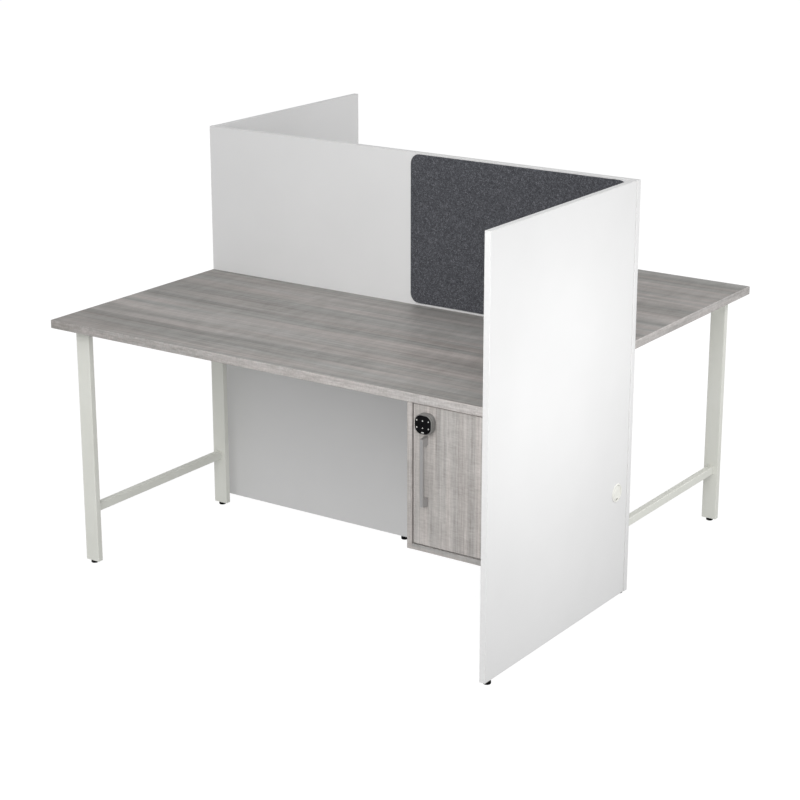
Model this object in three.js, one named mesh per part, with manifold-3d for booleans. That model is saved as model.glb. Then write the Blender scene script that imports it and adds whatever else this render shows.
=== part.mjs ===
// Two-person study carrel: two desks back to back along one shared spine panel,
// laid out as a pinwheel, so that station b is station a turned half a turn
// about the vertical axis. Millimetres, +Z up, origin on the floor under the
// middle of the spine. X runs along the spine, station a is on the -Y side.
import * as THREE from 'three';
import { mergeVertices } from 'three/addons/utils/BufferGeometryUtils.js';
import Module from 'manifold-3d';

const wasm = await Module();
wasm.setup();

// ---- driving dimensions -------------------------------------------------
const GAP = 0.3;                 // clearance between separate pieces

const SPINE_HALF = 773;          // half the length of the spine panel
const SPINE_T = 19;              // spine panel thickness
const PANEL_Z0 = 11;             // underside of all the tall panels
const PANEL_Z1 = 1252.5;         // top of all the tall panels

const END_T = 19;                // end panel thickness
const END_INSET = 2;             // the spine runs past the end panel by this much
const END_DEPTH = 771.7;         // end panel, front edge to spine face

const DESK_Z1 = 782;             // worktop height
const DESK_T = 26;               // worktop thickness
const DESK_DEPTH = 761.7;        // worktop, front edge to spine face

const LEG_W = 50, LEG_D = 20;    // leg tube section, X by Y
const TUBE_WALL = 1.5;
const LEG_Z0 = 8.7;              // lower end of the leg tubes
const LEG_IN = 44;               // open end of the worktop to the leg
const LEG_FRONT_IN = 58;         // front edge of the worktop to the front leg
const LEG_REAR_IN = 59;          // spine face to the back of the rear leg
const STRETCHER_W = 22, STRETCHER_H = 25, STRETCHER_Z = 164;
const RAIL_H = 20;               // top rail height

const FOOT_R = 11.3;             // levelling foot pad radius
const STEM_R = 4;                // levelling foot stem radius
const STEM_UP = 26;              // stem length above the pad
const FOOT_IN = 22;              // spine foot, in from the end of the panel

const FELT_X0 = 8, FELT_X1 = 744, FELT_Z0 = 788.5, FELT_Z1 = 1248;
const FELT_T = 5, FELT_R = 30;

const GROMMET_Y = -71, GROMMET_Z = 341;
const GROMMET_HOLE_R = 25.3, GROMMET_FLANGE_R = 27.7, GROMMET_BORE_R = 22.6;

const LOCKER_X0 = 508.5;         // outer face of the free side
const LOCKER_T = 16;             // carcass board
const LOCKER_Z0 = 340;
const LOCKER_FRONT_IN = 3;       // worktop edge to the front edges of the carcass
const LOCKER_DEPTH = 500;
const BACK_T = 12;

const DOOR_X0 = 528, DOOR_X1 = 747.2, DOOR_Z0 = 358.5, DOOR_Z1 = 754;
const DOOR_T = 18, DOOR_RECESS = 2;
const DOOR_BACK_GAP = 2.3;       // door to the boards that it covers

const HINGE_X = 748.9;           // hinge pin line
const HINGE_OUT = 5.4;           // pin line in front of the door face
const HINGE_R = 2.75, HINGE_LEN = 60;
const LEAF_T = 1.4, LEAF_W = 12;  // hinge leaf

const LOCK_X = 571.7, LOCK_Z = 707, LOCK_W = 54, LOCK_H = 55, LOCK_R = 21;
const LOCK_BASE = 11, LOCK_WAIST = 2, LOCK_HEAD = 7.2, KEYPAD_T = 2.2;

const PULL_X = 570, PULL_Z = 571.5, PULL_W = 9.5;
const PULL_BASE = 98.6, PULL_FRONT = 95.1, PULL_OUT = 26, PULL_GRIP = 7;
const PULL_FOOT = 23.7;

const BOLT_TRAVEL = 12;

// ---- materials ----------------------------------------------------------
const mat = (color, roughness, metalness = 0) =>
  new THREE.MeshStandardMaterial({ color, roughness, metalness });
const white = () => mat(0xe6e6e4, 0.5);
const oak = () => mat(0x9c9894, 0.55);
const ivory = () => mat(0xd3d4cd, 0.45, 0.1);
const black = () => mat(0x101010, 0.5);
const steel = () => mat(0xa0a0a2, 0.3, 0.9);
const grey = () => mat(0x6e6e6c, 0.4, 0.5);
const felt = () => mat(0x484a50, 0.95);
const cream = () => mat(0xefefe8, 0.4);

// ---- solids -------------------------------------------------------------
function toSolid(geometry) {
  const g = geometry.clone();
  g.deleteAttribute('normal');
  if (g.getAttribute('uv')) g.deleteAttribute('uv');
  const m = mergeVertices(g, 1e-4);
  return new wasm.Manifold(new wasm.Mesh({
    numProp: 3,
    vertProperties: new Float32Array(m.getAttribute('position').array),
    triVerts: new Uint32Array(m.getIndex().array),
  }));
}

function fromSolid(solid) {
  const mesh = solid.getMesh();
  const p = new Float32Array((mesh.vertProperties.length / mesh.numProp) * 3);
  for (let i = 0; i < p.length / 3; i++) {
    for (let k = 0; k < 3; k++) p[i * 3 + k] = mesh.vertProperties[i * mesh.numProp + k];
  }
  const g = new THREE.BufferGeometry();
  g.setAttribute('position', new THREE.BufferAttribute(p, 3));
  g.setIndex(new THREE.BufferAttribute(new Uint32Array(mesh.triVerts), 1));
  g.computeVertexNormals();
  return g;
}

const cut = (body, ...tools) => fromSolid(tools.reduce((s, t) => s.subtract(toSolid(t)), toSolid(body)));
const join = (body, ...more) => fromSolid(more.reduce((s, t) => s.add(toSolid(t)), toSolid(body)));

function box(x0, x1, y0, y1, z0, z1) {
  const g = new THREE.BoxGeometry(x1 - x0, y1 - y0, z1 - z0);
  g.translate((x0 + x1) / 2, (y0 + y1) / 2, (z0 + z1) / 2);
  return g;
}

function roundRect(w, h, r) {
  const s = new THREE.Shape();
  const x = w / 2, y = h / 2;
  s.moveTo(-x + r, -y);
  s.lineTo(x - r, -y);
  s.absarc(x - r, -y + r, r, -Math.PI / 2, 0, false);
  s.lineTo(x, y - r);
  s.absarc(x - r, y - r, r, 0, Math.PI / 2, false);
  s.lineTo(-x + r, y);
  s.absarc(-x + r, y - r, r, Math.PI / 2, Math.PI, false);
  s.lineTo(-x, -y + r);
  s.absarc(-x + r, -y + r, r, Math.PI, 1.5 * Math.PI, false);
  return s;
}

const prism = (shape, depth, curveSegments = 6) =>
  new THREE.ExtrudeGeometry(shape, { depth, bevelEnabled: false, curveSegments });

// a prism whose outline lies in the XZ plane, reaching from y0 to y1
function prismY(shape, y0, y1, curveSegments) {
  const g = prism(shape, y1 - y0, curveSegments);
  g.rotateX(Math.PI / 2);
  g.translate(0, y1, 0);
  return g;
}

// a post along Z, X and Y given by its centre
function cylinderZ(x, y, z0, z1, r, n = 20) {
  const g = new THREE.CylinderGeometry(r, r, z1 - z0, n);
  g.rotateX(Math.PI / 2);
  g.translate(x, y, (z0 + z1) / 2);
  return g;
}

function cylinderX(x0, x1, y, z, r, n = 32) {
  const g = new THREE.CylinderGeometry(r, r, x1 - x0, n);
  g.rotateZ(Math.PI / 2);
  g.translate((x0 + x1) / 2, y, z);
  return g;
}

function cylinderY(y0, y1, x, z, r, n = 24) {
  const g = new THREE.CylinderGeometry(r, r, y1 - y0, n);
  g.translate(x, (y0 + y1) / 2, z);
  return g;
}

function lathe(points, n = 20) {
  return new THREE.LatheGeometry(points.map(([r, z]) => new THREE.Vector2(r, z)), n);
}

const group = new THREE.Group();
function add(parent, name, geometry, material) {
  const mesh = new THREE.Mesh(geometry, material);
  mesh.name = name;
  parent.add(mesh);
  return mesh;
}

// ---- levelling foot: pad, collar and stem in one ------------------------
function footGeometry(under) {
  const top = under - 1.3;
  const g = lathe([
    [0, 0], [9.4, 0], [FOOT_R, 2], [FOOT_R, top - 1.2], [FOOT_R - 1, top],
    [STEM_R, top], [STEM_R, top + STEM_UP], [0, top + STEM_UP],
  ]);
  g.rotateX(Math.PI / 2);        // the lathe turns about Y, the foot stands on Z
  return g;
}

function addFoot(parent, name, x, y, under) {
  const mesh = add(parent, name, footGeometry(under), black());
  mesh.position.set(x, y, 0);
}

const stemBore = (x, y, z0) => cylinderZ(x, y, z0 - 5, z0 + STEM_UP + 4, STEM_R + 0.4);

// ---- the spine ----------------------------------------------------------
const spineFeet = [
  ['spine_foot_left', -(SPINE_HALF - FOOT_IN)],
  ['spine_foot_mid_left', -FOOT_IN],
  ['spine_foot_mid_right', FOOT_IN],
  ['spine_foot_right', SPINE_HALF - FOOT_IN],
];
add(group, 'spine_panel', cut(
  box(-SPINE_HALF, SPINE_HALF, -SPINE_T / 2, SPINE_T / 2, PANEL_Z0, PANEL_Z1),
  ...spineFeet.map(([, x]) => stemBore(x, 0, PANEL_Z0)),
), white());
for (const [name, x] of spineFeet) addFoot(group, name, x, 0, PANEL_Z0);

// ---- one station --------------------------------------------------------
function station(id) {
  const s = new THREE.Group();
  const n = (name) => `${id}_${name}`;
  const face = -SPINE_T / 2;                       // spine face of this station
  const back = face - GAP;                         // where the pieces against it end

  // end panel, standing at the +X end
  const endX1 = SPINE_HALF - END_INSET;
  const endX0 = endX1 - END_T;
  const endY0 = back - END_DEPTH;
  const endMid = (endX0 + endX1) / 2;
  const panelFootY = endY0 + 25;
  add(s, n('end_panel'), cut(
    box(endX0, endX1, endY0, back, PANEL_Z0, PANEL_Z1),
    cylinderX(endX0 - 5, endX1 + 5, GROMMET_Y, GROMMET_Z, GROMMET_HOLE_R),
    stemBore(endMid, panelFootY, PANEL_Z0),
  ), white());
  addFoot(s, n('end_panel_foot'), endMid, panelFootY, PANEL_Z0);

  // grommet: flanged liner through the end panel, and its turning cap
  const flange = [
    [GROMMET_BORE_R, -18], [GROMMET_HOLE_R - 0.4, -18], [GROMMET_HOLE_R - 0.4, GAP],
    [GROMMET_FLANGE_R, GAP], [GROMMET_FLANGE_R, 1.3], [GROMMET_FLANGE_R - 1.1, 2.3],
    [GROMMET_BORE_R + 0.9, 2.3], [GROMMET_BORE_R, 1.5], [GROMMET_BORE_R, -18],
  ];
  const ring = lathe(flange, 32);
  ring.rotateZ(-Math.PI / 2);                      // lathe axis Y to +X
  ring.translate(endX1, GROMMET_Y, GROMMET_Z);
  add(s, n('grommet_ring'), ring, cream());
  const capR = GROMMET_BORE_R - 0.4;
  const cap = lathe([[0, -2], [capR, -2], [capR, 0.9], [capR - 0.8, 1.6], [0, 1.9]], 32);
  cap.rotateZ(-Math.PI / 2);
  cap.translate(endX1, GROMMET_Y, GROMMET_Z);
  add(s, n('grommet_cap'), cut(cap,
    box(endX1 - 5, endX1 + 5, GROMMET_Y - 6, GROMMET_Y + 6, GROMMET_Z - 30, GROMMET_Z - 16),
  ), cream());

  // worktop
  const deskX0 = -SPINE_HALF + GAP;
  const deskX1 = endX0 - GAP;
  const deskY0 = back - DESK_DEPTH;
  add(s, n('worktop'), box(deskX0, deskX1, deskY0, back, DESK_Z1 - DESK_T, DESK_Z1), oak());
  const under = DESK_Z1 - DESK_T - GAP;

  // leg frame at the open end: two posts, a low stretcher and a top rail
  const legX0 = deskX0 + LEG_IN;
  const legMid = legX0 + LEG_W / 2;
  const post = (yMid) => {
    const at = (g, z) => { g.translate(legMid, yMid, z); return g; };
    return cut(
      at(prism(roundRect(LEG_W, LEG_D, 2.5), under - LEG_Z0, 3), LEG_Z0),
      at(prism(roundRect(LEG_W - 2 * TUBE_WALL, LEG_D - 2 * TUBE_WALL, 1), 800, 2), LEG_Z0 + 3),
      stemBore(legMid, yMid, LEG_Z0),
    );
  };
  const frontMid = deskY0 + LEG_FRONT_IN + LEG_D / 2;
  const rearMid = face - LEG_REAR_IN - LEG_D / 2;
  add(s, n('leg_front'), post(frontMid), ivory());
  add(s, n('leg_rear'), post(rearMid), ivory());
  addFoot(s, n('leg_front_foot'), legMid, frontMid, LEG_Z0);
  addFoot(s, n('leg_rear_foot'), legMid, rearMid, LEG_Z0);
  const barY0 = frontMid + LEG_D / 2 + GAP;
  const barY1 = rearMid - LEG_D / 2 - GAP;
  const bar = (w, h, z0) => {
    const hollow = roundRect(w, h, 2);
    hollow.holes.push(roundRect(w - 2 * TUBE_WALL, h - 2 * TUBE_WALL, 0.6));
    const g = prismY(hollow, barY0, barY1, 3);
    g.translate(legMid, 0, z0 + h / 2);
    return g;
  };
  add(s, n('stretcher'), bar(STRETCHER_W, STRETCHER_H, STRETCHER_Z), ivory());
  add(s, n('top_rail'), bar(LEG_W, RAIL_H, under - RAIL_H), ivory());

  // angle brackets that carry the worktop on the spine
  const bracket = (x) => {
    const l = new THREE.Shape();
    l.moveTo(0, 0); l.lineTo(-45, 0); l.lineTo(-45, -2.5); l.lineTo(-6, -2.5);
    l.lineTo(-2.5, -6); l.lineTo(-2.5, -45); l.lineTo(0, -45); l.lineTo(0, 0);
    const g = prism(l, 40);
    g.rotateX(Math.PI / 2);                        // outline to XZ, depth to -Y
    g.rotateZ(Math.PI / 2);                        // outline to YZ, depth to +X
    g.translate(x - 20, back, under);
    return g;
  };
  add(s, n('bracket_outer'), bracket(-420), ivory());
  add(s, n('bracket_inner'), bracket(300), ivory());

  // felt pin board on the spine
  const board = prismY(roundRect(FELT_X1 - FELT_X0, FELT_Z1 - FELT_Z0, FELT_R), back - FELT_T, back, 6);
  board.translate((FELT_X0 + FELT_X1) / 2, 0, (FELT_Z0 + FELT_Z1) / 2);
  add(s, n('felt_board'), board, felt());

  // hanging locker between the worktop and the end panel
  const lkX1 = endX0 - GAP;
  const lkY0 = deskY0 + LOCKER_FRONT_IN;
  const lkY1 = lkY0 + LOCKER_DEPTH;
  const inX0 = LOCKER_X0 + LOCKER_T + GAP;
  const inX1 = lkX1 - LOCKER_T - GAP;
  const doorY0 = lkY0 + DOOR_RECESS;
  const doorY1 = doorY0 + DOOR_T;
  const coveredY0 = doorY1 + DOOR_BACK_GAP;        // front of the boards behind the door
  const boltY = doorY1 + 10.5;
  add(s, n('locker_side_outer'), cut(
    box(LOCKER_X0, LOCKER_X0 + LOCKER_T, lkY0, lkY1, LOCKER_Z0, under),
    box(LOCKER_X0 + 7.5, LOCKER_X0 + LOCKER_T + 5, boltY - 5.5, boltY + 5.5, LOCK_Z - 6.5, LOCK_Z + 6.5),
  ), oak());
  add(s, n('locker_side_inner'), box(lkX1 - LOCKER_T, lkX1, coveredY0, lkY1, LOCKER_Z0 + LOCKER_T + GAP, under), oak());
  add(s, n('locker_bottom'), box(inX0, lkX1, lkY0, lkY1, LOCKER_Z0, LOCKER_Z0 + LOCKER_T), oak());
  add(s, n('locker_top'), box(inX0, inX1, coveredY0, lkY1, under - LOCKER_T, under), oak());
  add(s, n('locker_back'),
    box(inX0, inX1, lkY1 - BACK_T, lkY1, LOCKER_Z0 + LOCKER_T + GAP, under - LOCKER_T - GAP), oak());

  // door, inset at its free side and foot, over the boards at its hinged side and
  // head, with a hole for the lock's boss
  add(s, n('locker_door'), cut(
    box(DOOR_X0, DOOR_X1, doorY0, doorY1, DOOR_Z0, DOOR_Z1),
    cylinderY(doorY0 - 5, doorY1 + 5, LOCK_X, LOCK_Z, 12),
  ), oak());

  // hinges: a barrel in front of the door and a cranked leaf, which runs back past
  // the door's edge and lies on the front edge of the inner side board
  const pinY = doorY0 - HINGE_OUT;
  const hinge = (z0) => {
    const barrel = cylinderZ(HINGE_X, pinY, z0, z0 + HINGE_LEN, HINGE_R, 20);
    const leafX0 = HINGE_X - LEAF_T / 2, leafX1 = HINGE_X + LEAF_T / 2;
    const leafY1 = coveredY0 - GAP;
    return join(barrel,
      box(leafX0, leafX1, pinY, leafY1, z0, z0 + HINGE_LEN),
      box(leafX1 - LEAF_W, leafX1, leafY1 - LEAF_T, leafY1, z0, z0 + HINGE_LEN));
  };
  add(s, n('hinge_lower'), hinge(380), steel());
  add(s, n('hinge_upper'), hinge(655), steel());

  // keypad lock: base, waist and head on the door face, with a boss through it
  const at = (g) => { g.translate(LOCK_X, 0, LOCK_Z); return g; };
  const y1 = doorY0 - GAP;
  const y2 = y1 - LOCK_BASE, y3 = y2 - LOCK_WAIST, y4 = y3 - LOCK_HEAD;
  add(s, n('lock_body'), join(
    at(prismY(roundRect(LOCK_W, LOCK_H, LOCK_R), y2, y1, 7)),
    at(prismY(roundRect(LOCK_W - 5, LOCK_H - 5, LOCK_R - 2.5), y3 - 0.5, y2 + 0.5, 7)),
    at(prismY(roundRect(LOCK_W, LOCK_H, LOCK_R), y4, y3, 7)),
    cylinderY(y1 - 1, doorY1 - 1, LOCK_X, LOCK_Z, 11.5),
  ), grey());
  add(s, n('lock_keypad'), at(prismY(
    roundRect(LOCK_W - 3, LOCK_H - 3, LOCK_R - 1.5), y4 - GAP - KEYPAD_T, y4 - GAP, 7)), black());
  const caseY0 = doorY1 + GAP;
  add(s, n('lock_case'), cut(
    box(LOCK_X - 26, LOCK_X + 26, caseY0, caseY0 + 22, LOCK_Z - 26, LOCK_Z + 26),
    box(LOCK_X - 30, LOCK_X + 14, boltY - 4.4, boltY + 4.4, LOCK_Z - 5.4, LOCK_Z + 5.4),
  ), black());
  add(s, n('lock_bolt'),
    box(DOOR_X0 + 1.5, LOCK_X, boltY - 4, boltY + 4, LOCK_Z - 5, LOCK_Z + 5), steel());

  // bar pull
  const pull = new THREE.Shape();
  pull.moveTo(0, -PULL_BASE);
  pull.lineTo(0, -PULL_BASE + PULL_FOOT);
  pull.lineTo(-(PULL_OUT - PULL_GRIP), -PULL_BASE + PULL_FOOT + 2.5);
  pull.lineTo(-(PULL_OUT - PULL_GRIP), PULL_BASE - PULL_FOOT - 2.5);
  pull.lineTo(0, PULL_BASE - PULL_FOOT);
  pull.lineTo(0, PULL_BASE);
  pull.lineTo(-PULL_OUT + 1, PULL_FRONT);
  pull.lineTo(-PULL_OUT, PULL_FRONT - 1);
  pull.lineTo(-PULL_OUT, -PULL_FRONT + 1);
  pull.lineTo(-PULL_OUT + 1, -PULL_FRONT);
  const pg = prism(pull, PULL_W);
  pg.rotateX(Math.PI / 2);                         // outline to XZ, depth to -Y
  pg.rotateZ(Math.PI / 2);                         // outline to YZ, depth to +X
  pg.translate(PULL_X - PULL_W / 2, doorY0 - GAP, PULL_Z);
  add(s, n('door_pull'), pg, steel());
  return s;
}

const a = station('a');
const b = station('b');
b.rotation.z = Math.PI;
group.add(a, b);

export default group;
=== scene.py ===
import math

import bmesh
import bpy
from mathutils import Matrix, Vector, noise


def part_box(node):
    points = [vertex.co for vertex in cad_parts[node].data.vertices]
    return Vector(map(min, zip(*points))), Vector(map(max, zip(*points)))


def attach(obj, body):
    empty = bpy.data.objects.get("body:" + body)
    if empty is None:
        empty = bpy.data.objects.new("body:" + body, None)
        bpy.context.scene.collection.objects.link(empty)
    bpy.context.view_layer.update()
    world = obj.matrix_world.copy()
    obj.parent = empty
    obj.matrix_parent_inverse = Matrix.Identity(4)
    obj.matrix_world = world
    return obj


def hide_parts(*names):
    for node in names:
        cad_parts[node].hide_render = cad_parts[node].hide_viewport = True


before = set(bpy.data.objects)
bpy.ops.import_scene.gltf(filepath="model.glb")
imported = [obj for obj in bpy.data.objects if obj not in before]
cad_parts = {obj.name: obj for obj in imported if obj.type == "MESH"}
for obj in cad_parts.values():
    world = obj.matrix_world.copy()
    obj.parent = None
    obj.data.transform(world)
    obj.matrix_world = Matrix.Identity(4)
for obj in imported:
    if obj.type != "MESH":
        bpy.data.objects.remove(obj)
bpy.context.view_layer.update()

MM = 0.001
X, Y, Z = 0, 1, 2
QUARTER = math.pi / 2

# ---------------------------------------------------------------- camera

CAMERA_AT = (3.4388, -5.0827, 2.4103)
LOOKS_DOWN = math.radians(17.232)
LOOKS_ROUND = math.radians(34.392)

camera_data = bpy.data.cameras.new("camera")
camera_data.sensor_fit = "HORIZONTAL"
camera_data.sensor_width = 36
camera_data.lens = 92.95
camera_data.shift_y = -0.015
camera_data.clip_end = 100
camera = bpy.data.objects.new("camera", camera_data)
camera.location = CAMERA_AT
camera.rotation_euler = (QUARTER - LOOKS_DOWN, 0, LOOKS_ROUND)
bpy.context.scene.collection.objects.link(camera)
bpy.context.scene.camera = camera
bpy.context.scene.view_settings.view_transform = "Standard"

# ------------------------------------------------------------- finishes

NOISE = "ShaderNodeTexNoise"
RAMP = "ShaderNodeValToRGB"
MATHS = "ShaderNodeMath"
RANGE = "ShaderNodeMapRange"
SPREAD = "ShaderNodeMapping"
BUMP = "ShaderNodeBump"
MIX = "ShaderNodeMix"


def linear(hex_colour):
    """The linear colour of an sRGB hex value."""
    channels = [int(hex_colour[i:i + 2], 16) / 255 for i in (1, 3, 5)]
    return (*[c / 12.92 if c <= 0.04045 else ((c + 0.055) / 1.055) ** 2.4 for c in channels], 1)


def add(tree, kind, *links, stops=(), **settings):
    """Adds one node. links are (input, value) pairs, where a value may be a node or a socket,
    settings are the node's own properties, and stops are a ramp's (place, hex colour) pairs."""
    new = tree.nodes.new(kind)
    for name, value in settings.items():
        setattr(new, name, value)
    for socket, value in links:
        if isinstance(value, bpy.types.Node):
            value = next(o for o in value.outputs if o.enabled)
        if isinstance(value, bpy.types.NodeSocket):
            tree.links.new(value, new.inputs[socket])
        else:
            new.inputs[socket].default_value = value
    for i, (place, colour) in enumerate(stops):
        if i > 1:
            new.color_ramp.elements.new(1.0)
        new.color_ramp.elements[i].position = place
        new.color_ramp.elements[i].color = linear(colour)
    return new


def begin(name):
    """A new material's node tree, and the place on the piece that its patterns read."""
    material = bpy.data.materials.new(name)
    material.use_nodes = True
    material.node_tree.nodes.clear()
    place = add(material.node_tree, "ShaderNodeTexCoord").outputs["Object"]
    return material, material.node_tree, place


def close(material, *links):
    """Ends a material: its shader, with what feeds it, and the output."""
    tree = material.node_tree
    shader = add(tree, "ShaderNodeBsdfPrincipled", *links)
    add(tree, "ShaderNodeOutputMaterial", ("Surface", shader))
    return material


def per_metre(*sizes):
    """Repeats per metre of a pattern whose size is in millimetres, for one axis or for three."""
    repeats = [1 / (size * MM) for size in sizes]
    return repeats[0] if len(repeats) == 1 else repeats


def melamine_white():
    """Melamine-faced particleboard: hard, matt, with the fine pearl of a press plate."""
    material, tree, place = begin("melamine_pearl_white")
    cloud = add(tree, NOISE, ("Vector", place), ("Scale", per_metre(260)), ("Detail", 3))
    # the pearl is 0.4 mm across, drawn coarser to show
    pearl = add(tree, NOISE, ("Vector", place), ("Scale", per_metre(1.1)), ("Detail", 3))
    blend = add(tree, MATHS, (0, pearl), (1, 0.25), operation="MULTIPLY")
    blend = add(tree, MATHS, (0, cloud), (1, 0.75), (2, blend), operation="MULTIPLY_ADD")
    colour = add(tree, RAMP, ("Fac", blend), stops=((0.3, WHITE[0]), (0.7, WHITE[1])))
    rough = add(tree, RANGE, ("Value", pearl), ("To Min", 0.44), ("To Max", 0.56))
    bump = add(tree, BUMP, ("Height", pearl), ("Distance", 0.03 * MM))
    return close(material, ("Base Color", colour), ("Roughness", rough), ("Normal", bump), ("IOR", 1.5))


def edge_band_white():
    """ABS edge band, 2 mm thick, shaved round and buffed, so smoother than the board's face."""
    material, tree, place = begin("abs_edge_band_white")
    # marks of the shaving cutter
    chatter = add(tree, NOISE, ("Vector", place), ("Scale", per_metre(7)), ("Detail", 2))
    colour = add(tree, RAMP, ("Fac", chatter), stops=((0.3, WHITE[0]), (0.7, WHITE[1])))
    rough = add(tree, RANGE, ("Value", chatter), ("To Min", 0.32), ("To Max", 0.44))
    bump = add(tree, BUMP, ("Height", chatter), ("Distance", 0.02 * MM))
    return close(material, ("Base Color", colour), ("Roughness", rough), ("Normal", bump), ("IOR", 1.53))


def glue_line(name, dark, light):
    """The hot-melt line between a band and a board, a hair wide and a little dirty."""
    material, tree, place = begin(name)
    dirt = add(tree, NOISE, ("Vector", place), ("Scale", per_metre(14)), ("Detail", 3))
    colour = add(tree, RAMP, ("Fac", dirt), stops=((0.3, dark), (0.7, light)))
    return close(material, ("Base Color", colour), ("Roughness", 0.6))


def oak_decor(name, along, layers, tones, casts, painted_light_drift=0.0):
    """Melamine with a printed grey oak and a pressed pore: cloudy broken bands, streaks and
    short fibres along the grain and saw marks across it, some bands warmer and some greener.
    layers are (length, width, detail, roughness, warp, weight) with sizes in millimetres, and
    the last argument is painted light: how much the colour lightens for each metre along X,
    standing in for light that grows stronger towards +X."""
    material, tree, place = begin(name)
    waves = []
    for length, width, detail, rough, warp, _ in layers:
        size = [width] * 3
        size[along] = length
        spread = add(tree, SPREAD, ("Vector", place), ("Scale", per_metre(*size)),
                     ("Location", [7.3 * len(waves)] * 3))
        waves.append(add(tree, NOISE, ("Vector", spread), ("Scale", 1.0), ("Detail", detail),
                         ("Roughness", rough), ("Distortion", warp)))
    aside = add(tree, "ShaderNodeSeparateXYZ", ("Vector", place))
    # painted light: the colour lightens along X, for light that grows stronger that way
    tone = add(tree, MATHS, (0, aside.outputs["X"]), (1, painted_light_drift), operation="MULTIPLY")
    for wave, layer in zip(waves, layers):
        tone = add(tree, MATHS, (0, wave), (1, layer[-1]), (2, tone), operation="MULTIPLY_ADD")
    colour = add(tree, RAMP, ("Fac", tone), stops=tones)
    cast = add(tree, RAMP, ("Fac", waves[1]), stops=casts)
    tinted = add(tree, MIX, ("Factor", 1.0), ("A", colour), ("B", cast),
                 data_type="RGBA", blend_type="MULTIPLY")
    fibres = waves[-2]
    rough = add(tree, RANGE, ("Value", fibres), ("To Min", 0.38), ("To Max", 0.56))
    height = add(tree, MATHS, (0, fibres), (1, 0.7), (2, waves[-1]), operation="MULTIPLY_ADD")
    bump = add(tree, BUMP, ("Height", height), ("Distance", 0.05 * MM))
    return close(material, ("Base Color", tinted), ("Roughness", rough), ("Normal", bump), ("IOR", 1.5))


def powder_coat():
    """Powder-coated steel tube: warm off-white, with a faint orange peel and soft gloss."""
    material, tree, place = begin("powder_coated_steel_ivory")
    cloud = add(tree, NOISE, ("Vector", place), ("Scale", per_metre(120)), ("Detail", 2))
    peel = add(tree, NOISE, ("Vector", place), ("Scale", per_metre(2.2)), ("Detail", 1))
    speck = add(tree, NOISE, ("Vector", place), ("Scale", per_metre(0.9)), ("Detail", 2))
    colour = add(tree, RAMP, ("Fac", cloud), stops=((0.3, IVORY[0]), (0.7, IVORY[1])))
    rough = add(tree, RANGE, ("Value", speck), ("To Min", 0.36), ("To Max", 0.5))
    bump = add(tree, BUMP, ("Height", peel), ("Distance", 0.05 * MM))
    return close(material, ("Base Color", colour), ("Roughness", rough), ("Normal", bump), ("IOR", 1.5))


def zinc_plate():
    """Zinc-plated steel: bluish bright grey, a little cloudy."""
    material, tree, place = begin("zinc_plated_steel")
    cloud = add(tree, NOISE, ("Vector", place), ("Scale", per_metre(3)), ("Detail", 3))
    colour = add(tree, RAMP, ("Fac", cloud), stops=((0.3, "#a8aaac"), (0.7, "#c9cbcc")))
    rough = add(tree, RANGE, ("Value", cloud), ("To Min", 0.28), ("To Max", 0.45))
    return close(material, ("Base Color", colour), ("Roughness", rough), ("Metallic", 1.0))


def moulded_nylon():
    """Black injection-moulded nylon with a spark-eroded grain: a dull sheen on deep black."""
    material, tree, place = begin("moulded_nylon_black")
    # the grain is 0.2 mm, drawn coarser to show
    grain = add(tree, NOISE, ("Vector", place), ("Scale", per_metre(0.7)), ("Detail", 2))
    colour = add(tree, RAMP, ("Fac", grain), stops=((0.3, "#050505"), (0.7, "#0c0c0c")))
    rough = add(tree, RANGE, ("Value", grain), ("To Min", 0.42), ("To Max", 0.62))
    bump = add(tree, BUMP, ("Height", grain), ("Distance", 0.04 * MM))
    return close(material, ("Base Color", colour), ("Roughness", rough), ("Normal", bump),
                 ("IOR", 1.53), ("Specular IOR Level", 0.12))


def moulded_abs():
    """Cream injection-moulded ABS: smooth, with a satin mould finish."""
    material, tree, place = begin("moulded_abs_cream")
    flow = add(tree, NOISE, ("Vector", place), ("Scale", per_metre(18)), ("Detail", 2))
    grain = add(tree, NOISE, ("Vector", place), ("Scale", per_metre(0.8)), ("Detail", 2))
    colour = add(tree, RAMP, ("Fac", flow), stops=((0.3, "#e9e9e2"), (0.7, "#efefe9")))
    rough = add(tree, RANGE, ("Value", grain), ("To Min", 0.34), ("To Max", 0.48))
    bump = add(tree, BUMP, ("Height", grain), ("Distance", 0.02 * MM))
    return close(material, ("Base Color", colour), ("Roughness", rough), ("Normal", bump), ("IOR", 1.53))


def pressed_felt():
    """Needled polyester felt pressed to a board: charcoal fibres with pale and black ones
    among them, no shine but a soft fuzz at the edges."""
    material, tree, place = begin("pressed_polyester_felt")
    layers = (                                  # size of the fibre clumps in mm, detail, weight
        ((5.5, 5.5, 5.5), 4, 0.46),             # tufts
        ((9, 2.4, 2.2), 3, 0.2),                # fibres lying level
        ((2.4, 2.4, 9), 3, 0.2),                # fibres standing
        ((1.4, 1.4, 1.4), 3, 0.14))             # single fibres, drawn coarser to show
    tone = 0.0
    for size, detail, weight in layers:
        spread = add(tree, SPREAD, ("Vector", place), ("Scale", per_metre(*size)))
        fibres = add(tree, NOISE, ("Vector", spread), ("Scale", 1.0), ("Detail", detail),
                     ("Roughness", 0.63), ("Distortion", 1.6))
        tone = add(tree, MATHS, (0, fibres), (1, weight), (2, tone), operation="MULTIPLY_ADD")
    colour = add(tree, RAMP, ("Fac", tone), stops=FELT)
    bump = add(tree, BUMP, ("Height", tone), ("Distance", 0.9 * MM))
    return close(material, ("Base Color", colour), ("Roughness", 0.95), ("Normal", bump), ("IOR", 1.45),
                 ("Sheen Weight", 0.25), ("Sheen Roughness", 0.6), ("Sheen Tint", linear("#8c8f96")))


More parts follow.
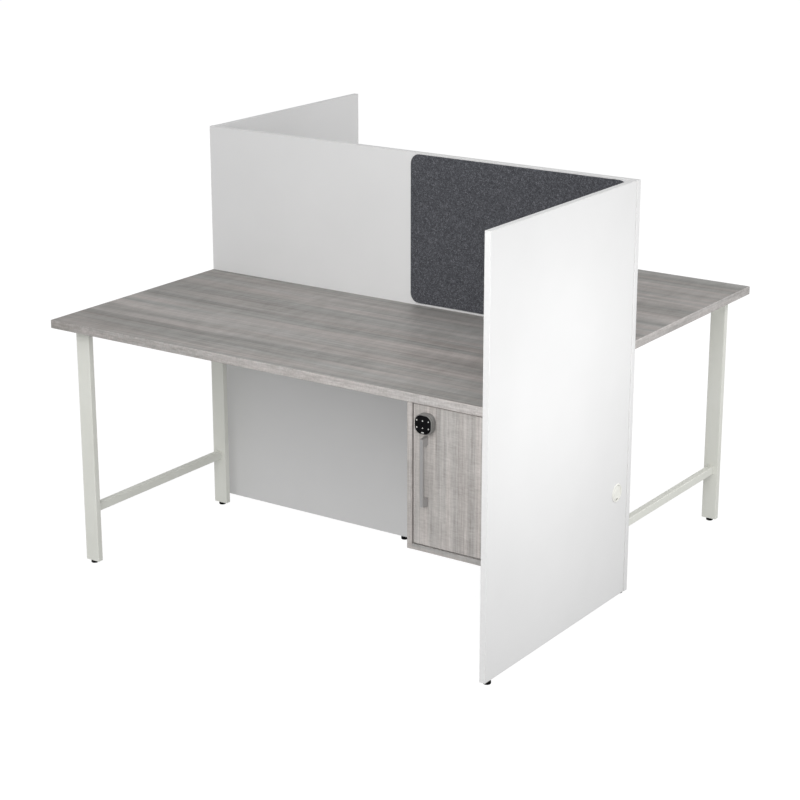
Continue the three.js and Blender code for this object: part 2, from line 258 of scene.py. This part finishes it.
def satin_nickel():
    """Die-cast zinc, brushed along its length and nickel plated: light grey with a long soft gleam."""
    material, tree, place = begin("brushed_satin_nickel")
    spread = add(tree, SPREAD, ("Vector", place), ("Scale", per_metre(0.5, 0.5, 40)))
    brushed = add(tree, NOISE, ("Vector", spread), ("Scale", 1.0), ("Detail", 3), ("Roughness", 0.6))
    colour = add(tree, RAMP, ("Fac", brushed), stops=((0.3, NICKEL[0]), (0.7, NICKEL[1])))
    rough = add(tree, RANGE, ("Value", brushed), ("To Min", 0.36), ("To Max", 0.52))
    bump = add(tree, BUMP, ("Height", brushed), ("Distance", 0.01 * MM))
    return close(material, ("Base Color", colour), ("Roughness", rough), ("Normal", bump),
                 ("Metallic", 0.7))


def painted_casting():
    """Die-cast lock housing in fine textured grey paint with metal flake."""
    material, tree, place = begin("painted_die_cast_grey")
    flake = add(tree, NOISE, ("Vector", place), ("Scale", per_metre(0.8)), ("Detail", 3),
                ("Roughness", 0.6))
    colour = add(tree, RAMP, ("Fac", flake), stops=((0.3, CASTING[0]), (0.7, CASTING[1])))
    rough = add(tree, RANGE, ("Value", flake), ("To Min", 0.34), ("To Max", 0.52))
    bump = add(tree, BUMP, ("Height", flake), ("Distance", 0.02 * MM))
    return close(material, ("Base Color", colour), ("Roughness", rough), ("Normal", bump),
                 ("Metallic", 0.4))


def keypad_lens():
    """Black polycarbonate touch plate with an anti-glare hard coat: deep black, faint finger haze."""
    material, tree, place = begin("polycarbonate_lens_black")
    haze = add(tree, NOISE, ("Vector", place), ("Scale", per_metre(16)), ("Detail", 3), ("Roughness", 0.6))
    colour = add(tree, RAMP, ("Fac", haze), stops=((0.3, "#08080a"), (0.7, "#101012")))
    rough = add(tree, RANGE, ("Value", haze), ("To Min", 0.22), ("To Max", 0.38))
    return close(material, ("Base Color", colour), ("Roughness", rough),
                 ("IOR", 1.5), ("Specular IOR Level", 0.08))


def printed_mark():
    """Screen-printed pale ink on the touch plate: thin and even, a little dry at the edge."""
    material, tree, place = begin("printed_ink_pale")
    dry = add(tree, NOISE, ("Vector", place), ("Scale", per_metre(0.6)), ("Detail", 2))
    colour = add(tree, RAMP, ("Fac", dry), stops=((0.3, "#bdbdbb"), (0.7, "#dededc")))
    return close(material, ("Base Color", colour), ("Roughness", 0.5), ("IOR", 1.5))


WHITE = ("#e2e2e2", "#e6e6e6")
IVORY = ("#e8e9e1", "#edeee7")
NICKEL = ("#adacac", "#bfbebe")
CASTING = ("#7e7d7c", "#969593")
OAK_TONES = ((0.39, "#7e7a76"), (0.47, "#979390"), (0.54, "#aaa6a4"), (0.62, "#bfbcb9"))
# painted light: the locker's oak is the worktop's decor made about a tenth lighter, for the stronger light
# on its upright faces
LOCKER_PAINTED_LIGHT_TONES = ((0.39, "#8a8582"), (0.47, "#a29e9b"), (0.54, "#b5b1ae"), (0.62, "#cac6c3"))
BAND_TONES = ((0.39, "#95918d"), (0.47, "#a7a3a0"), (0.54, "#b7b3b1"), (0.62, "#c8c5c2"))
OAK_CASTS = ((0.38, "#f9fefe"), (0.62, "#fffbf9"))
FAINT_CASTS = ((0.38, "#fdfefe"), (0.62, "#fffdfc"))
# painted light: the worktop's edge band lightens along +X, for light that grows stronger that way
BAND_PAINTED_LIGHT_DRIFT = 0.045
FELT = ((0.41, "#2f3035"), (0.485, "#424348"), (0.53, "#515257"), (0.61, "#7b7d83"))
OAK_TOP = (                                     # length, width, detail, roughness, warp, weight
    (1500, 80, 3, 0.5, 0.3, 0.27),              # broad light and dark bands
    (800, 30, 3, 0.5, 0.25, 0.22),              # narrower bands, which carry the colour cast
    (460, 8, 3, 0.6, 0.12, 0.20),               # growth rings cut along, 4 to 12 mm
    (38, 110, 2, 0.5, 0.4, 0.11),               # mottle across the grain
    (50, 2.2, 2, 0.6, 0.0, 0.10),               # fibres, 1 mm, drawn coarser to show
    (2.8, 22, 2, 0.6, 0.0, 0.10))               # band-saw marks across the grain
OAK_DOOR = (
    (1500, 60, 3, 0.5, 0.3, 0.15),
    (700, 26, 3, 0.5, 0.3, 0.17),
    (380, 5.5, 3, 0.6, 0.12, 0.27),
    (38, 90, 2, 0.5, 0.4, 0.09),
    (40, 2.0, 2, 0.6, 0.0, 0.18),
    (2.8, 16, 2, 0.6, 0.0, 0.14))
OAK_BAND = (
    (900, 30, 3, 0.5, 0.3, 0.12),
    (300, 14, 3, 0.5, 0.3, 0.12),
    (90, 6, 3, 0.6, 0.2, 0.24),
    (30, 20, 2, 0.5, 0.4, 0.12),
    (16, 2.6, 2, 0.6, 0.0, 0.22),
    (2.8, 9, 2, 0.6, 0.0, 0.18))

melamine = melamine_white()
band_white = edge_band_white()
line_white = glue_line("glue_line_white", "#c9c8c5", "#d6d5d2")
line_oak = glue_line("glue_line_oak", "#6f6a66", "#857f7a")
# the Y and Z copies, used on the locker, take the lighter tones: a lit copy of the worktop's oak, painted
# light
oak = [oak_decor("melamine_grey_oak_" + "xyz"[k], k, *look)
       for k, look in ((X, (OAK_TOP, OAK_TONES, OAK_CASTS)),
                       (Y, (OAK_DOOR, LOCKER_PAINTED_LIGHT_TONES, FAINT_CASTS)), (Z, (OAK_DOOR, LOCKER_PAINTED_LIGHT_TONES, FAINT_CASTS)))]
oak_band = [oak_decor("edge_band_grey_oak_" + "xyz"[k], k, OAK_BAND, BAND_TONES, FAINT_CASTS, BAND_PAINTED_LIGHT_DRIFT)
            for k in (X, Y)]
ivory = powder_coat()
zinc = zinc_plate()
nylon = moulded_nylon()
cream = moulded_abs()
felt = pressed_felt()
nickel = satin_nickel()
lock_paint = painted_casting()
lens = keypad_lens()
ink = printed_mark()

# ----------------------------------------------------------- mesh making


def block(low, high):
    """A box between two corners."""
    bm = bmesh.new()
    bmesh.ops.create_cube(bm, size=1)
    low, high = Vector(low), Vector(high)
    bmesh.ops.scale(bm, vec=high - low, verts=bm.verts)
    bmesh.ops.translate(bm, vec=(low + high) / 2, verts=bm.verts)
    return bm


def copy_of(node):
    """A CAD node's mesh as one closed surface with whole flat faces."""
    bm = bmesh.new()
    bm.from_mesh(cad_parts[node].data)
    bmesh.ops.remove_doubles(bm, verts=bm.verts, dist=0.005 * MM)
    bmesh.ops.dissolve_limit(bm, angle_limit=math.radians(0.5), verts=bm.verts, edges=bm.edges)
    return bm


def soften(bm, radius, edges=None, segments=3):
    """Rounds the given edges, or every edge sharper than 40 degrees."""
    if edges is None:
        edges = sharp(bm, 40)
    bmesh.ops.bevel(bm, geom=edges, offset=radius, offset_type="OFFSET", affect="EDGES",
                    segments=segments, profile=0.5, material=-1, clamp_overlap=True)
    return bm


def sharp(bm, degrees=70):
    """The edges that turn by more than an angle."""
    return [e for e in bm.edges if e.is_manifold and e.calc_face_angle() > math.radians(degrees)]


def along_axis(bm, axis):
    """The edges that run along an axis."""
    return [e for e in bm.edges
            if abs((e.verts[0].co - e.verts[1].co).normalized()[axis]) > 0.999]


def turned(profile, centre, axis, steps=40):
    """A turned solid: profile is (radius, height) pairs in metres, from the axis back to the axis."""
    bm = bmesh.new()
    line = [bm.verts.new((r, 0, h)) for r, h in profile]
    edges = [bm.edges.new(pair) for pair in zip(line, line[1:])]
    bmesh.ops.spin(bm, geom=line + edges, cent=(0, 0, 0), axis=(0, 0, 1),
                   angle=2 * math.pi, steps=steps, use_merge=True)
    bmesh.ops.remove_doubles(bm, verts=bm.verts, dist=0.002 * MM)
    bmesh.ops.recalc_face_normals(bm, faces=bm.faces)
    turn = Vector((0, 0, 1)).rotation_difference(Vector(axis)).to_matrix()
    bmesh.ops.rotate(bm, cent=(0, 0, 0), matrix=turn, verts=bm.verts)
    bmesh.ops.translate(bm, vec=Vector(centre), verts=bm.verts)
    return bm


def merged(*meshes):
    """Several shapes as one mesh."""
    whole = meshes[0]
    for bm in meshes[1:]:
        spare = bpy.data.meshes.new("spare")
        bm.to_mesh(spare)
        bm.free()
        whole.from_mesh(spare)
        bpy.data.meshes.remove(spare)
    return whole


def piece(name, bm, body, materials, stands_for=(), crease=32):
    """Makes a mesh a piece that rides on a body. Names that start with b_ are made at station a
    and turned half a turn about the vertical."""
    if name.startswith("b_"):
        bmesh.ops.rotate(bm, cent=(0, 0, 0), matrix=Matrix.Rotation(math.pi, 3, "Z"), verts=bm.verts)
    mesh = bpy.data.meshes.new(name)
    bm.to_mesh(mesh)
    bm.free()
    for material in materials:
        mesh.materials.append(material)
    mesh.shade_smooth()
    mesh.set_sharp_from_angle(angle=math.radians(crease))
    obj = bpy.data.objects.new(name, mesh)
    bpy.context.scene.collection.objects.link(obj)
    even = obj.modifiers.new("even_shading", "WEIGHTED_NORMAL")
    even.keep_sharp = True
    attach(obj, body)
    if stands_for:
        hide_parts(*stands_for)
    return obj


def banded(bm, thin, grain, radius=1.2):
    """Rounds a board's rim, marks its glue lines and sorts its faces: 0 the face, 1 the band
    along the grain, 2 the band across it, 3 the glue line."""
    rim = [e for e in sharp(bm, 60) if e.calc_length() > 60 * MM]
    soften(bm, radius * MM, rim)
    bm.normal_update()
    wide = [f for f in bm.faces if abs(f.normal[thin]) > 0.999 and f.calc_area() > 4e-4]
    lines = bmesh.ops.inset_region(bm, faces=wide, thickness=0.35 * MM, depth=0,
                                   use_boundary=True, use_even_offset=True)["faces"]
    across = 3 - thin - grain
    for f in bm.faces:
        n = f.normal
        if abs(n[thin]) > 0.999:
            f.material_index = 0
        else:
            f.material_index = 1 if abs(n[across]) >= abs(n[grain]) else 2
    for f in lines:
        f.material_index = 3
    return bm


def white_board(name, node, thin, stands_for):
    """A melamine board shaped from a node, with its ABS edge band."""
    piece(name, banded(copy_of(node), thin, Z), "carrel",
          [melamine, band_white, band_white, line_white], [stands_for])


def screw(centre, axis, radius=4.0, height=2.2):
    """A pan-head screw with a round socket, seen from outside; axis points out of the work."""
    r, h = radius * MM, height * MM
    return turned([(0, 0), (r, 0), (r, 0.35 * h), (0.86 * r, 0.8 * h), (0.6 * r, h), (0.42 * r, h),
                   (0.42 * r, 0.3 * h), (0, 0.3 * h)], centre, axis, 24)


# ------------------------------------------------------- floor and light


def stage(name, bm, *links):
    """A part of the studio, with a plain material: what feeds its shader is given by links."""
    mesh = bpy.data.meshes.new(name)
    bm.to_mesh(mesh)
    bm.free()
    obj = bpy.data.objects.new(name, mesh)
    material, tree, place = begin("studio_" + name)
    cloud = add(tree, NOISE, ("Vector", place), ("Scale", per_metre(900)), ("Detail", 2))
    tint = add(tree, RAMP, ("Fac", cloud), stops=((0.3, "#606060"), (0.7, "#666666")))
    close(material, ("Base Color", tint), ("Roughness", 0.95), ("Specular IOR Level", 0.0),
          ("Emission Color", (1, 1, 1, 1)), *links)
    mesh.materials.append(material)
    bpy.context.scene.collection.objects.link(obj)
    return obj


def only_seen(obj):
    """Leaves a part of the studio to the camera alone."""
    obj.visible_diffuse = False
    obj.visible_glossy = False
    obj.visible_shadow = False
    obj.visible_transmission = False


def backdrop():
    """A pale floor that holds only the faintest shadow and a white sweep far behind it, both
    seen by the camera alone, and just under them a floor that throws light back up."""
    floors = {}
    for name, depth, glow in (("floor", 0, FLOOR_SEEN), ("bounce", -0.5 * MM, FLOOR_BOUNCE)):
        bm = bmesh.new()
        bmesh.ops.create_circle(bm, cap_ends=True, radius=FLOOR_RADIUS, segments=96)
        bmesh.ops.translate(bm, vec=(0, 0, depth), verts=bm.verts)
        floors[name] = stage(name, bm, ("Emission Strength", glow))
    only_seen(floors["floor"])
    floors["bounce"].visible_camera = False
    bm = bmesh.new()
    bmesh.ops.create_uvsphere(bm, u_segments=48, v_segments=24, radius=SWEEP_RADIUS)
    only_seen(stage("sweep", bm, ("Emission Strength", 1.0)))


def softbox(name, at, size, power, aim=(0, 0, 0.6)):
    """A rectangular lamp that the camera can't see, with its power in watts."""
    data = bpy.data.lights.new(name, "AREA")
    data.shape = "RECTANGLE"
    data.size, data.size_y = size
    data.energy = power
    lamp = bpy.data.objects.new(name, data)
    lamp.location = at
    lamp.rotation_euler = (Vector(aim) - Vector(at)).to_track_quat("-Z", "Y").to_euler()
    lamp.visible_camera = False
    bpy.context.scene.collection.objects.link(lamp)


FLOOR_RADIUS = 24
SWEEP_RADIUS = 25
FLOOR_SEEN = 0.955
FLOOR_BOUNCE = 0.367
ROOM = 0.522
world = bpy.data.worlds.new("room")
world.use_nodes = True
room_light = world.node_tree.nodes["Background"]
room_light.inputs["Color"].default_value = (1, 1, 1, 1)
room_light.inputs["Strength"].default_value = ROOM
bpy.context.scene.world = world
backdrop()
softbox("front_right_high", (2.4, -3.4, 3.4), (2.0, 2.0), 32, (0.2, -0.4, 0.7))
softbox("front_mid", (0.6, -3.2, 2.2), (1.6, 1.2), 27.6, (0.1, -0.1, 1.0))
softbox("front_right_close", (1.5, -2.3, 1.1), (1.0, 0.8), 7.9, (0.5, -0.6, 0.8))
softbox("over_felt", (0.5, -1.6, 2.2), (0.8, 0.6), 2.4, (0.3, 0, 1.0))
softbox("right_close", (1.7, -0.42, 0.8), (0.5, 0.4), 4.2, (0.77, -0.42, 0.8))
softbox("right_near", (2.2, -0.35, 0.82), (0.9, 0.7), 1.7, (0.77, -0.4, 0.8))
softbox("back", (1.5, 5.5, 2.6), (3.0, 2.4), 35)
softbox("back_desk", (1.9, 1.6, 1.7), (0.8, 0.8), 9.8, (0.4, 0.5, 0.78))
softbox("top_right", (1.6, 0.6, 3.6), (1.6, 1.6), 5.2, (0.5, 0.4, 0.8))
softbox("top", (0, -0.6, 5.0), (3.5, 3.5), 5.9)

# ------------------------------------------------------------ the spine

white_board("spine_board", "spine_panel", Y, "spine_panel")


STEM_SHOWS = 26 * MM
COLLAR_R = 7.3 * MM
THREAD_R, THREAD_ROOT = 3.9 * MM, 3.3 * MM


def levelling_foot(name, node, body):
    """A levelling foot: nylon glide, zinc hexagon collar and a threaded stem."""
    low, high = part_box(node)
    if node.startswith("b_"):
        low, high = Vector((-high.x, -high.y, low.z)), Vector((-low.x, -low.y, high.z))
    centre = (low + high) / 2
    r = (high.x - low.x) / 2
    top = high.z - STEM_SHOWS
    glide = turned([(0, 0), (r - 2.6 * MM, 0), (r - 1.2 * MM, 0.3 * MM), (r - 0.3 * MM, 1.3 * MM),
                    (r, 2.4 * MM), (r, top - 2.2 * MM), (r - 0.5 * MM, top - 1.1 * MM),
                    (r - 1.6 * MM, top - 0.5 * MM), (7.4 * MM, top - 0.4 * MM), (0, top - 0.4 * MM)],
                   (centre.x, centre.y, 0), (0, 0, 1), 48)
    piece(name + "_glide", glide, body, [nylon], [node])
    nut = bmesh.new()
    bmesh.ops.create_cone(nut, cap_ends=True, segments=6, radius1=COLLAR_R, radius2=COLLAR_R, depth=1.0 * MM)
    soften(nut, 0.2 * MM, segments=2)
    bmesh.ops.translate(nut, vec=(centre.x, centre.y, top + 0.1 * MM), verts=nut.verts)
    turns, pitch = 19, 1.25 * MM
    thread = [(0, top)]
    for i in range(turns):
        thread += [(THREAD_ROOT, top + i * pitch), (THREAD_R, top + (i + 0.5) * pitch)]
    thread += [(THREAD_ROOT, top + turns * pitch), (2.6 * MM, high.z), (0, high.z)]
    stem = turned(thread, (centre.x, centre.y, 0), (0, 0, 1), 24)
    piece(name + "_stem", merged(stem, nut), body, [zinc])


for side in ("left", "mid_left", "mid_right", "right"):
    levelling_foot("spine_foot_" + side + "_level", "spine_foot_" + side, "spine_foot_" + side)

# ------------------------------------------------------------ a station


def weld(low, high, axis, sign):
    """A painted weld bead round the end of a bar: a collar that slopes from the post to the bar."""
    low, high = Vector(low), Vector(high)
    size = 2.2 * MM
    grow = Vector((size, size, size))
    grow[axis] = 0
    end = high if sign > 0 else low
    a, b = low - grow, high + grow
    a[axis], b[axis] = sorted((end[axis] - sign * size, end[axis]))
    bm = block(a, b)
    far = [v for v in bm.verts if (v.co[axis] - end[axis]) * sign < -0.5 * size]
    middle = (low + high) / 2
    for k in (X, Y, Z):
        if k != axis:
            shrink = [1, 1, 1]
            shrink[k] = (high[k] - low[k]) / (high[k] - low[k] + 2 * size)
            bmesh.ops.scale(bm, vec=shrink, space=Matrix.Translation(-middle), verts=far)
    bmesh.ops.subdivide_edges(bm, edges=bm.edges, cuts=7, use_grid_fill=True)
    for v in bm.verts:                       # the ripple of the run
        v.co += 0.35 * MM * noise.noise(v.co * 420) * (v.co - middle).normalized()
    bmesh.ops.smooth_vert(bm, verts=bm.verts, factor=0.35,
                          use_axis_x=True, use_axis_y=True, use_axis_z=True)
    return bm


def station(s):
    """All the pieces of one station. Station b's are made where station a's are, then turned."""
    def at(node):
        """A node's corners as station a has them."""
        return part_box("a_" + node)

    def n(name):
        """A name with this station's letter."""
        return f"{s}_{name}"

    white_board(n("end_panel_board"), "a_end_panel", X, n("end_panel"))
    levelling_foot(n("end_panel_level"), n("end_panel_foot"), n("end_panel_foot"))
    grommet(n, at)
    worktop(n, at)
    leg_frame(n, at)
    brackets(n, at)
    pin_board(n, at)
    locker(n, at)
    lock(n, at)
    pull(n)


def grommet(n, at):
    """The cord grommet: a liner with a rounded flange, and a cap with a raised ring that turns in it."""
    low, high = at("grommet_ring")
    flange = 2.3 * MM
    place = (high.x - flange, (low.y + high.y) / 2, (low.z + high.z) / 2)
    rim = (high.z - low.z) / 2
    bore, wall, deep = 22.6 * MM, 24.9 * MM, -18 * MM
    liner = turned([(bore, deep), (wall, deep), (wall, 0.3 * MM), (rim - 0.4 * MM, 0.3 * MM),
                    (rim, 0.6 * MM), (rim, 1.1 * MM), (rim - 0.4 * MM, 1.7 * MM), (rim - 1.2 * MM, 2.2 * MM),
                    (rim - 2 * MM, flange), (bore + 1.3 * MM, flange), (bore + 0.4 * MM, 2.0 * MM),
                    (bore, 1.4 * MM), (bore, deep)], place, (1, 0, 0), 72)
    piece(n("grommet_liner"), liner, "carrel", [cream], [n("grommet_ring")], 40)
    cap = soften(copy_of("a_grommet_cap"), 0.4 * MM, segments=2)
    inner, outer, foot, crest = 15.2 * MM, 16.4 * MM, 1.6 * MM, 2.2 * MM
    ring = turned([(inner, foot), (outer, foot), (outer, 2.05 * MM), (16.1 * MM, crest), (15.5 * MM, crest),
                   (inner, 2.05 * MM), (inner, foot)], place, (1, 0, 0), 64)
    piece(n("grommet_lid"), merged(cap, ring), n("cap"), [cream],
          [n("grommet_cap")], 40)


def worktop(n, at):
    """The worktop, with the grain along it and an edge band 2 mm thick."""
    low, high = at("worktop")
    bm = banded(block(low, high), Z, X, 2.0)
    piece(n("worktop_board"), bm, "carrel",
          [oak[X], oak_band[X], oak_band[Y], line_oak], [n("worktop")])


def leg_frame(n, at):
    """The welded leg frame: two legs on levelling feet, a stretcher, and a rail screwed to the top."""
    for leg in ("leg_front", "leg_rear"):
        bm = copy_of("a_" + leg)
        soften(bm, 0.4 * MM, sharp(bm), 2)
        piece(n(leg + "_tube"), bm, "carrel", [ivory], [n(leg)], 28)
        levelling_foot(n(leg + "_level"), n(leg + "_foot"), n(leg + "_foot"))
    for bar in ("stretcher", "top_rail"):
        bm = copy_of("a_" + bar)
        low, high = at(bar)
        soften(bm, 0.3 * MM, sharp(bm), 2)
        piece(n(bar + "_tube"), bm, "carrel", [ivory], [n(bar)], 28)
        if bar == "stretcher":
            for sign, tag in ((-1, "front"), (1, "rear")):
                piece(n(f"{bar}_weld_{tag}"), weld(low, high, Y, sign), "carrel",
                      [ivory], (), 60)
        else:
            heads = [screw(((low.x + high.x) / 2, y, low.z), (0, 0, -1))
                     for y in (low.y + 0.06, low.y + 0.22, high.y - 0.22, high.y - 0.06)]
            piece(n("top_rail_screws"), merged(*heads), "carrel", [zinc])


def brackets(n, at):
    """The two angles under the worktop, each screwed up into it and back into the spine."""
    for tag in ("outer", "inner"):
        low, high = at("bracket_" + tag)
        bm = soften(copy_of("a_bracket_" + tag), 0.5 * MM, segments=2)
        piece(n(f"bracket_{tag}_angle"), bm, "carrel", [ivory], [n("bracket_" + tag)])
        heads = []
        for x in (low.x + 10 * MM, high.x - 10 * MM):
            heads.append(screw((x, low.y + 15 * MM, high.z - 2.5 * MM), (0, 0, -1)))
            heads.append(screw((x, high.y - 2.5 * MM, low.z + 15 * MM), (0, -1, 0)))
        piece(n(f"bracket_{tag}_screws"), merged(*heads), "carrel", [zinc])


def pin_board(n, at):
    """The felt board: needled felt pressed hard, cut with round corners and soft at its rim."""
    low, high = at("felt_board")
    width, height, thick = high.x - low.x, high.z - low.z, high.y - low.y
    bm = bmesh.new()
    bmesh.ops.create_grid(bm, x_segments=128, y_segments=80, size=0.5)
    bmesh.ops.scale(bm, vec=(width, height, 1), verts=bm.verts)
    corner = 30 * MM
    for v in bm.verts:                       # draws each square corner in to its arc
        out = Vector((abs(v.co.x) - (width / 2 - corner), abs(v.co.y) - (height / 2 - corner)))
        if out.x > 0 and out.y > 0:
            reach = max(out.x, out.y)
            k = reach / out.length
            v.co.x = math.copysign(width / 2 - corner + out.x * k, v.co.x)
            v.co.y = math.copysign(height / 2 - corner + out.y * k, v.co.y)
    bmesh.ops.rotate(bm, cent=(0, 0, 0), matrix=Matrix.Rotation(QUARTER, 3, "X"), verts=bm.verts)
    bmesh.ops.translate(bm, vec=((low.x + high.x) / 2, high.y, (low.z + high.z) / 2), verts=bm.verts)
    front = bmesh.ops.extrude_face_region(bm, geom=list(bm.faces))["geom"]
    front = [g for g in front if isinstance(g, bmesh.types.BMVert)]
    bmesh.ops.translate(bm, vec=(0, -thick, 0), verts=front)
    bmesh.ops.recalc_face_normals(bm, faces=bm.faces)
    soften(bm, 2.0 * MM, [e for e in bm.edges if e.calc_face_angle(0) > math.radians(60)], 3)
    for v in bm.verts:
        if v.co.y < high.y - 0.5 * thick:    # the pressed face is a little uneven
            swell = noise.fractal(v.co * 60, 0.8, 2.1, 3)
            v.co.y += 0.12 * MM * (1 + max(-1, min(1, swell)))
    piece(n("felt_board_panel"), bm, "carrel", [felt], [n("felt_board")], 60)


HINGE_R = 2.75 * MM
HINGE_LEAF = 1.4 * MM


def locker(n, at):
    """The hanging locker: five boards, the door, and its two cranked hinges."""
    for node, thin, grain in (("locker_side_outer", X, Z), ("locker_side_inner", X, Z),
                              ("locker_bottom", Z, Y), ("locker_top", Z, Y), ("locker_back", Y, Z)):
        bm = banded(copy_of("a_" + node), thin, grain, 0.8)
        across = 3 - thin - grain
        piece(n(node + "_board"), bm, "carrel",
              [oak[grain], oak[grain], oak[across], line_oak], [n(node)])
    door = banded(copy_of("a_locker_door"), Y, Z, 0.8)
    piece(n("locker_door_board"), door, n("door"),
          [oak[Z], oak[Z], oak[X], line_oak], [n("locker_door")])
    for node in ("hinge_lower", "hinge_upper"):
        low, high = at(node)
        r, leaf, length = HINGE_R, HINGE_LEAF, high.z - low.z
        pin = Vector((high.x - r, low.y + r, 0))
        knuckles = [(0, 0), (r - 0.6 * MM, 0), (r, 0.5 * MM)]
        for i in range(1, 5):
            z = length * i / 5
            knuckles += [(r, z - 0.25 * MM), (r - 0.45 * MM, z - 0.2 * MM), (r - 0.45 * MM, z + 0.2 * MM),
                         (r, z + 0.25 * MM)]
        knuckles += [(r, length - 0.5 * MM), (r - 0.6 * MM, length), (0, length)]
        barrel = turned(knuckles, (pin.x, pin.y, low.z), (0, 0, 1), 28)
        arm = block((pin.x - leaf / 2, pin.y + 2.0 * MM, low.z), (pin.x + leaf / 2, high.y, high.z))
        side = next(f for f in arm.faces if f.normal.x < -0.9)
        bmesh.ops.bisect_plane(arm, geom=[side, *side.edges, *side.verts],
                               plane_co=(0, high.y - leaf, 0), plane_no=(0, 1, 0))
        foot = next(f for f in arm.faces if f.normal.x < -0.9 and f.calc_center_median().y > high.y - leaf)
        foot = bmesh.ops.extrude_discrete_faces(arm, faces=[foot])["faces"][0]
        bmesh.ops.translate(arm, vec=(low.x - pin.x + leaf / 2, 0, 0), verts=foot.verts)
        heads = [screw((low.x + 5 * MM, high.y - leaf, z), (0, -1, 0), 3.0, 0.4)
                 for z in (low.z + 12 * MM, high.z - 12 * MM)]
        piece(n(node + "_knuckle"), merged(barrel, soften(arm, 0.2 * MM, segments=2), *heads), "carrel",
              [zinc], [n(node)])


def lock(n, at):
    """The keypad lock: a squared-off round housing in two steps with a dark touch plate."""
    low, high = at("lock_body")
    head_low, head_high = at("lock_keypad")
    cx, cz = (head_low.x + head_high.x) / 2, (head_low.z + head_high.z) / 2
    half_w, half_h = (high.x - low.x) / 2, (high.z - low.z) / 2
    door_face = at("locker_door")[0].y

    def rounded(y0, y1, inset, corner, rim, segments=14):
        """A plate of the lock's outline, less an inset, with round corners and a soft front rim."""
        bm = block((cx - half_w + inset, y0, cz - half_h + inset),
                   (cx + half_w - inset, y1, cz + half_h - inset))
        soften(bm, corner, along_axis(bm, Y), segments)
        edge = [e for e in bm.edges if e.calc_face_angle(0) > math.radians(60)
                and abs(e.verts[0].co.y - y0) < 1e-6 and abs(e.verts[1].co.y - y0) < 1e-6]
        return soften(bm, rim, edge, 3)

    front = low.y
    base = rounded(front + 9.2 * MM, door_face - 0.3 * MM, 0, 21 * MM, 1.4 * MM)
    # the neck is black nylon: painted shade, darkening the groove between the head and the base
    shaded_neck = rounded(front + 7.0 * MM, front + 9.6 * MM, 2.5 * MM, 18.5 * MM, 0.1 * MM)
    head = rounded(front, front + 7.2 * MM, 0, 21 * MM, 1.0 * MM)
    boss_r, boss_long = 11.5 * MM, 17 * MM
    boss = turned([(0, 0), (boss_r, 0), (boss_r, boss_long), (0, boss_long)],
                  (cx, door_face - 0.5 * MM, cz), (0, 1, 0), 36)
    piece(n("lock_housing"), merged(base, head, boss), n("door"), [lock_paint],
          [n("lock_body")])
    piece(n("lock_neck"), shaded_neck, n("door"), [nylon])
    plate = rounded(head_low.y, head_high.y + 0.3 * MM, 2.4 * MM, 18.6 * MM, 0.6 * MM)
    piece(n("lock_touch_plate"), plate, n("door"), [lens], [n("lock_keypad")])
    dot_r, ink_thick, sunk = 1.8 * MM, 0.04 * MM, 0.2 * MM
    marks = []
    for dz in (11.2 * MM, -8.6 * MM):
        for dx in (-18.5 * MM, 0, 18.5 * MM):
            marks.append(turned([(0, -sunk), (dot_r, -sunk), (dot_r, ink_thick), (0, ink_thick)],
                                (cx + dx, head_low.y, cz + dz), (0, -1, 0), 20))
    bar = block((cx - 4.2 * MM, head_low.y - ink_thick, cz - 22.8 * MM),
                (cx + 4.2 * MM, head_low.y + sunk, cz - 19.8 * MM))
    marks.append(soften(bar, 1.4 * MM, along_axis(bar, Y), 6))
    piece(n("lock_marks"), merged(*marks), n("door"), [ink])
    case = soften(copy_of("a_lock_case"), 1.2 * MM, segments=3)
    case_low, case_high = at("lock_case")
    edge_gap = 7 * MM
    heads = [screw((x, case_high.y, z), (0, 1, 0), 2.6, 0.8)
             for x in (case_low.x + edge_gap, case_high.x - edge_gap)
             for z in (case_low.z + edge_gap, case_high.z - edge_gap)]
    piece(n("lock_case_shell"), case, n("door"), [nylon], [n("lock_case")])
    piece(n("lock_case_screws"), merged(*heads), n("door"), [zinc])
    bolt = soften(copy_of("a_lock_bolt"), 0.6 * MM, segments=3)
    piece(n("lock_bolt_bar"), bolt, n("bolt"), [zinc], [n("lock_bolt")])


def pull(n):
    """The bar pull under the lock."""
    bm = soften(copy_of("a_door_pull"), 0.9 * MM, segments=3)
    piece(n("door_pull_bar"), bm, n("door"), [nickel], [n("door_pull")])


station("a")
station("b")
